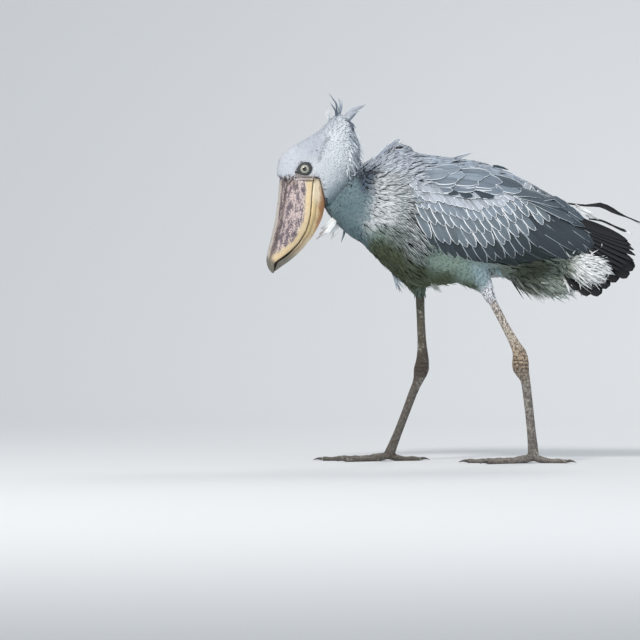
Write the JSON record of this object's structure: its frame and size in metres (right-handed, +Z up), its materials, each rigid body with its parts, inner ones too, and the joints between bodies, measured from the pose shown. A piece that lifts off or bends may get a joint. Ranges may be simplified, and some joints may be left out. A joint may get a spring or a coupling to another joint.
{
  "type": "shoebill model",
  "caption": "Life-size shoebill walking with its head lowered: hooked clog-shaped bill, short crest, grey plumage, folded wings, long legs and spread toes.",
  "frame": {"origin": "middle of the footprint box, on the floor", "axes": "+Z up, the bird faces -X, its left side is at -Y"},
  "size_m": [0.9302, 0.2686, 0.9055],
  "materials": {
    "pale_feather": "soft matt feather",
    "slate_feather": "matt feather with pale edges",
    "flight_feather": "matt to satin vane",
    "white_down": "loose down",
    "horn": "satin horn, mottled",
    "leg_skin": "dry scaled skin",
    "claw": "satin horn",
    "eye": "wet gloss"
  },
  "bodies": {
    "root": {"head": "pale_feather", "bill_upper": "horn", "bill_lower": "horn", "eye_left": "eye", "eye_right": "eye", "crest_plume_1": "pale_feather", "crest_plume_2": "pale_feather", "crest_plume_3": "pale_feather", "crest_plume_4": "pale_feather", "crest_plume_5": "pale_feather", "trunk": "slate_feather", "neck": "pale_feather", "thigh_left": "slate_feather", "tibia_left": "leg_skin", "tarsus_left": "leg_skin", "middle_toe_left": "leg_skin", "middle_toe_claw_left": "claw", "hallux_left": "leg_skin", "hallux_claw_left": "claw", "inner_toe_left": "leg_skin", "inner_toe_claw_left": "claw", "outer_toe_left": "leg_skin", "outer_toe_claw_left": "claw", "thigh_right": "slate_feather", "tibia_right": "leg_skin", "tarsus_right": "leg_skin", "middle_toe_right": "leg_skin", "middle_toe_claw_right": "claw", "hallux_right": "leg_skin", "hallux_claw_right": "claw", "inner_toe_right": "leg_skin", "inner_toe_claw_right": "claw", "outer_toe_right": "leg_skin", "outer_toe_claw_right": "claw", "wing_left": "slate_feather", "primaries_left": "flight_feather", "wing_right": "slate_feather", "primaries_right": "flight_feather", "tail_left": "flight_feather", "tail_right": "flight_feather", "vent_feathers": "slate_feather", "undertail_tuft_left": "white_down", "undertail_tuft_right": "white_down", "wing_wisp_upper": "flight_feather", "wing_wisp_lower": "flight_feather", "throat_plume_1": "pale_feather", "throat_plume_2": "pale_feather", "throat_plume_3": "pale_feather", "mantle_ruff": "slate_feather"}
  },
  "joints": []
}
